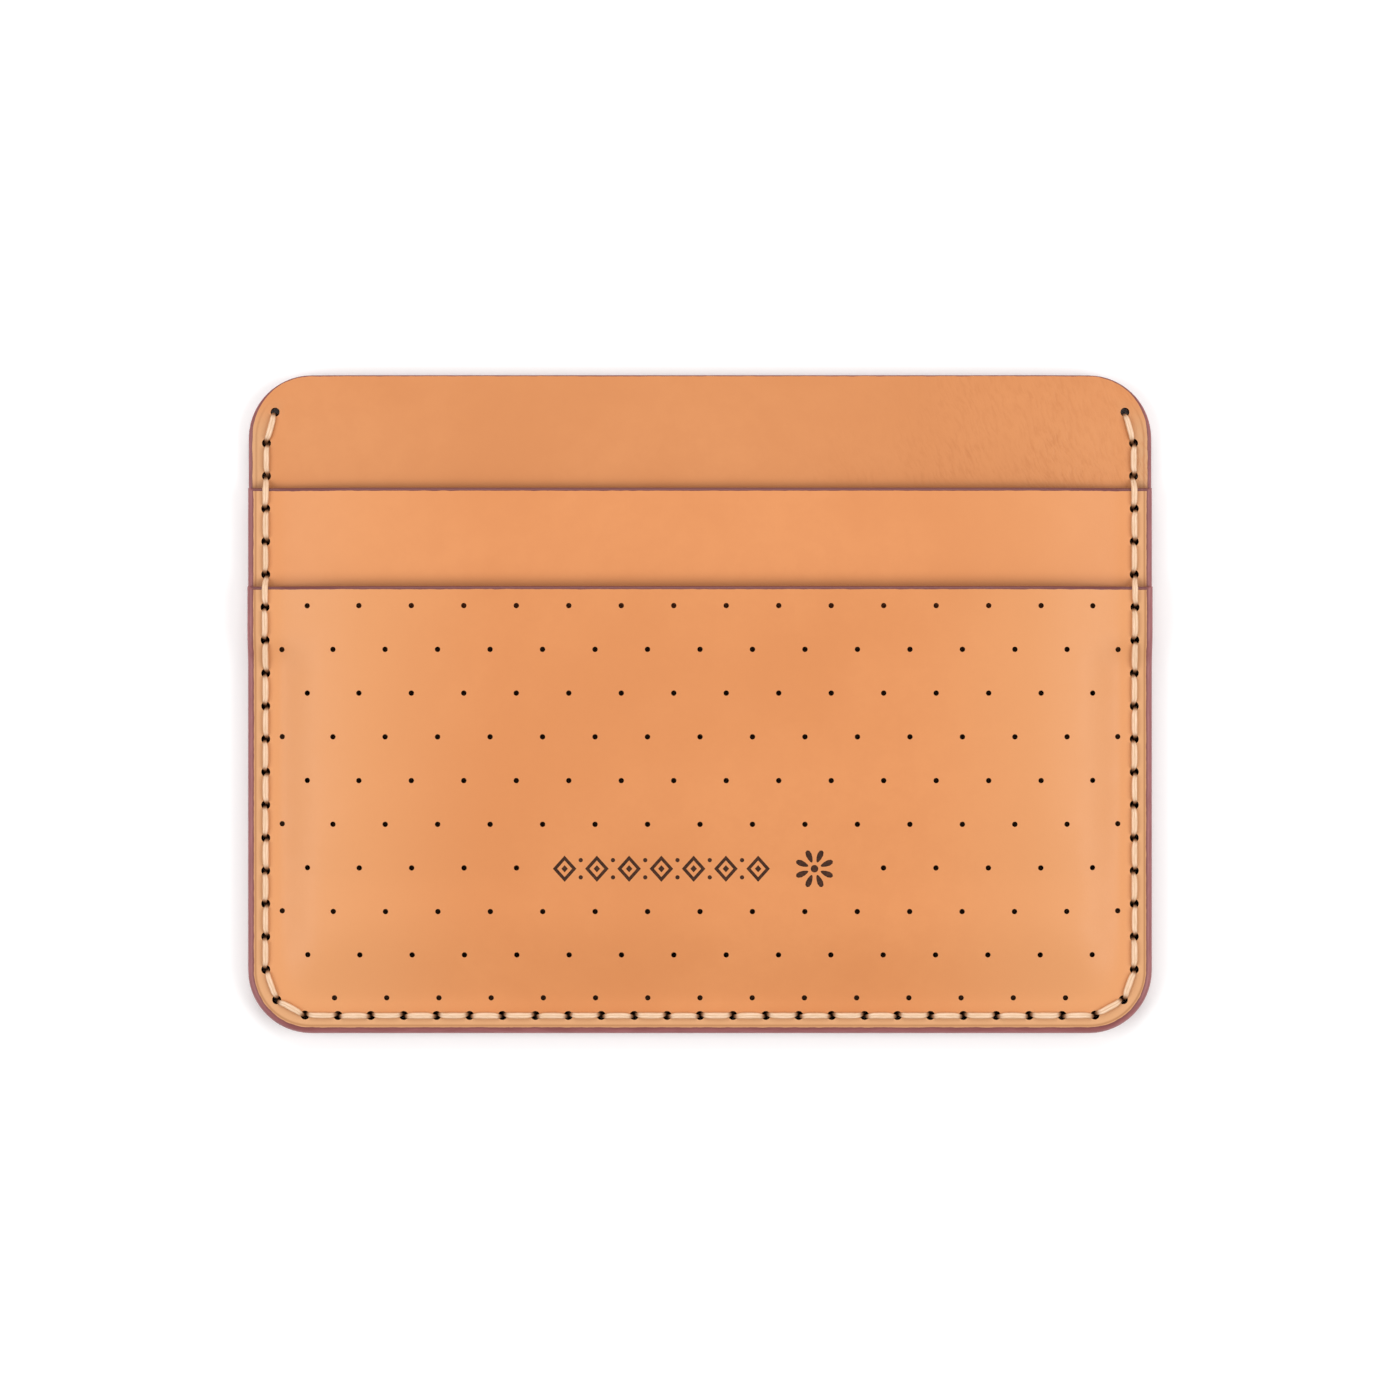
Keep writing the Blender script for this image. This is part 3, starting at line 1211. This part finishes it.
def sew(plan, name, line, count, low, high, material, seed):
    """Sews one seam with one thread: its middle goes through the first hole and both halves sew on."""
    holes = holes_along(line, count)
    one, one_ids = strand(plan, holes, low, high, 1)
    two, two_ids = strand(plan, holes, low, high, 0)
    rows = np.concatenate([one[::-1], two])
    lane = mesh_object(name, rows[:, :3], [], [(i, i + 1) for i in range(len(rows) - 1)])
    for title, kind, values in (
        ("full", "FLOAT", rows[:, 3]),
        ("sunk", "FLOAT", rows[:, 4]),
        ("stitch", "INT", np.array(one_ids[::-1] + two_ids)),
    ):
        lane.data.attributes.new(title, kind, "POINT").data.foreach_set("value", values)
    values = {
        "Width": plan.thread_width * MM,
        "Height": plan.thread_height * MM,
        "Parting": 0.26,
        "Sides": 18,
        "Unevenness": 0.06,
        "Seed": seed,
        "Material": material,
    }
    add_nodes(lane, "Thread", thread_tree, values)
    settle(lane)
    return lane


class CARDHOLDER_OT_threads(bpy.types.Operator):
    """Sew the edge seam and the hidden seam that closes the upper slot's tail"""

    bl_idname = "card_holder.threads"
    bl_label = "Threads"

    def execute(self, context):
        plan = Plan(context.scene)
        material = waxed_thread(context.scene.holder_finish)
        seed = context.scene.holder_stitching.seed
        edge_count, tail_count = plan.stitch_counts()

        def in_groove(x, y):
            return plan.groove_depth + 0 * x

        def over_tail(x, y):
            return plan.upper_under(x, y) + plan.thickness

        edge = sew(plan, "edge_stitches", plan.edge_seam(), edge_count, in_groove, plan.skin, material, seed)
        hand_over(edge, "edge_thread")
        tail = sew(
            plan, "tail_stitches", plan.tail_seam(), tail_count, plan.front_under, over_tail, material, seed
        )
        hand_over(tail, "tail_thread")
        return {"FINISHED"}


# ---- Stage -----------------------------------------------------------------------------------------------


def soft_box(name, place, power):
    """A square soft light aimed at the holder."""
    lamp = bpy.data.lights.new(name, "AREA")
    lamp.shape = "SQUARE"
    lamp.size = 0.8
    lamp.energy = power
    light = new_object(name, lamp)
    light.location = place
    light.rotation_mode = "QUATERNION"
    light.rotation_quaternion = (-light.location).to_track_quat("-Z", "Y")


class CARDHOLDER_OT_stage(bpy.types.Operator):
    """Set the pale floor, the soft lights and the camera straight above"""

    bl_idname = "card_holder.stage"
    bl_label = "Stage"

    def execute(self, context):
        scene = context.scene
        square = ((-1, -1), (1, -1), (1, 1), (-1, 1))
        corners = [(x * FLOOR_REACH, y * FLOOR_REACH, -FLOOR_DROP) for x, y in square]
        floor = mesh_object("pale_floor", corners, [(0, 1, 2, 3)])
        material, bench = new_material("pale floor")
        finish_material(bench, (0.97, 0.97, 0.97, 1), 0.9, 0.1)
        floor.data.materials.append(material)

        world = bpy.data.worlds.new("studio")
        world.use_nodes = True
        background = world.node_tree.nodes["Background"]
        background.inputs["Color"].default_value = (1.0, 0.99, 0.98, 1)
        background.inputs["Strength"].default_value = 0.55
        scene.world = world
        soft_box("left softbox", (-0.9, -0.15, 0.8), 6.6)
        soft_box("right softbox", (0.9, -0.15, 0.8), 7.3)
        soft_box("far softbox", (0.0, 0.95, 0.75), 5.8)

        camera = bpy.data.cameras.new("camera")
        camera.sensor_width = 36
        camera.lens = 139.6
        camera.clip_start = 0.01
        scene.camera = new_object("camera", camera)
        scene.camera.location = (0, 0.00047, 0.603)
        scene.view_settings.view_transform = "Standard"
        return {"FINISHED"}


class CARDHOLDER_PT_sidebar(bpy.types.Panel):
    """Lists the holder's sizes and steps"""

    bl_idname = "CARDHOLDER_PT_sidebar"
    bl_label = "Card holder"
    bl_space_type = "VIEW_3D"
    bl_region_type = "UI"
    bl_category = "Card holder"

    def draw(self, context):
        for title in GROUPS:
            group = getattr(context.scene, title)
            box = self.layout.box()
            for name in group.__annotations__:
                box.prop(group, name)
        for step in STEPS:
            self.layout.operator(step.bl_idname)


GROUPS = {
    "holder_sizes": HolderSizes,
    "holder_stitching": HolderStitching,
    "holder_perforation": HolderPerforation,
    "holder_finish": HolderFinish,
}
STEPS = (
    CARDHOLDER_OT_rear_panel,
    CARDHOLDER_OT_front_panel,
    CARDHOLDER_OT_upper_slot,
    CARDHOLDER_OT_front_slot,
    CARDHOLDER_OT_threads,
    CARDHOLDER_OT_stage,
)
CLASSES = (*GROUPS.values(), *STEPS, CARDHOLDER_PT_sidebar)


def register():
    for kind in CLASSES:
        bpy.utils.register_class(kind)
    for name, kind in GROUPS.items():
        setattr(bpy.types.Scene, name, bpy.props.PointerProperty(type=kind))


def unregister():
    for name in GROUPS:
        delattr(bpy.types.Scene, name)
    for kind in reversed(CLASSES):
        bpy.utils.unregister_class(kind)


def clear_helpers():
    """Removes the seam lines and the stamp die once every panel is cut."""
    for name in ("edge seam line", "tail seam line", "stamp die"):
        bpy.data.objects.remove(bpy.data.objects[name])


def main():
    register()
    bpy.ops.card_holder.rear_panel()
    bpy.ops.card_holder.front_panel()
    bpy.ops.card_holder.upper_slot()
    bpy.ops.card_holder.front_slot()
    bpy.ops.card_holder.threads()
    clear_helpers()
    bpy.ops.card_holder.stage()


if __name__ == "__main__":
    main()
